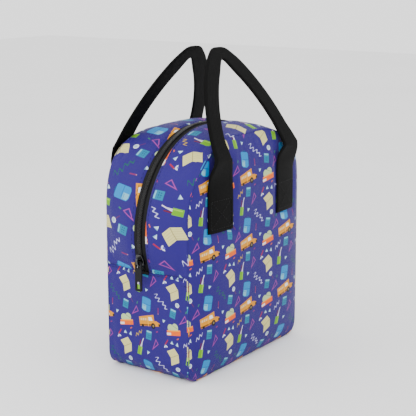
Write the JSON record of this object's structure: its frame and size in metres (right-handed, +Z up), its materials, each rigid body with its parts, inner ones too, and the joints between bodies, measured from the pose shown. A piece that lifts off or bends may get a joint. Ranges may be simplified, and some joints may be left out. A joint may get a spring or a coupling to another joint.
{
  "type": "lunch bag",
  "caption": "Soft insulated lunch bag with a zip over the top from side to side, printed fabric panels, foil lining and a pair of webbing carrying handles.",
  "frame": {"origin": "middle of the flat base", "axes": "+Z up, +X along the width, -Y towards the front panel; the closed zip's slider is on the -X side"},
  "size_m": [0.2488, 0.1406, 0.3513],
  "materials": {
    "printed_fabric": "woven polyester with a small school print",
    "foam": "closed-cell foam",
    "foil_lining": "crinkled heat-sealed foil",
    "binding": "woven binding tape",
    "zipper_tape": "woven zip tape",
    "zipper_coil": "nylon coil",
    "slider_metal": "gloss black enamel",
    "pull_metal": "worn black enamel",
    "webbing": "ribbed polypropylene webbing"
  },
  "bodies": {
    "bag": {"front_panel": "printed_fabric", "front_panel_foam": "foam", "front_panel_lining": "foil_lining", "back_panel": "printed_fabric", "back_panel_foam": "foam", "back_panel_lining": "foil_lining", "lower_gusset": "printed_fabric", "lower_gusset_foam": "foam", "lower_gusset_lining": "foil_lining", "upper_gusset_front": "printed_fabric", "upper_gusset_front_foam": "foam", "upper_gusset_front_lining": "foil_lining", "upper_gusset_back": "printed_fabric", "upper_gusset_back_foam": "foam", "upper_gusset_back_lining": "foil_lining", "front_seam_binding": "binding", "zipper_tape_front": "zipper_tape", "zipper_coil_front": "zipper_coil", "front_handle_end_left": "webbing", "front_handle_end_right": "webbing", "back_seam_binding": "binding", "zipper_tape_back": "zipper_tape", "zipper_coil_back": "zipper_coil", "back_handle_end_left": "webbing", "back_handle_end_right": "webbing", "zipper_end_left": "zipper_tape", "zipper_end_right": "zipper_tape"},
    "front_handle": {"front_handle_loop": "webbing"},
    "back_handle": {"back_handle_loop": "webbing"},
    "slider": {"slider_body": "slider_metal", "slider_bail": "slider_metal"},
    "pull_tab": {"pull_tab": "pull_metal"}
  },
  "joints": [
    {"name": "front_handle_fold", "type": "hinge", "parent": "bag", "child": "front_handle", "pos_m": [0, -0.0684, 0.238], "axis": [1, 0, 0], "range_deg": [0, 190]},
    {"name": "back_handle_fold", "type": "hinge", "parent": "bag", "child": "back_handle", "pos_m": [0, 0.0684, 0.238], "axis": [-1, 0, 0], "range_deg": [0, 190]},
    {"name": "slider_run", "type": "hinge", "parent": "bag", "child": "slider", "pos_m": [-0.0115, 0, 0.155], "axis": [0, 1, 0], "range_deg": [0, 96]},
    {"name": "pull_tab_swing", "type": "hinge", "parent": "slider", "child": "pull_tab", "pos_m": [-0.12294, 0, 0.13049], "axis": [0, 1, 0], "range_deg": [0, 165]}
  ]
}
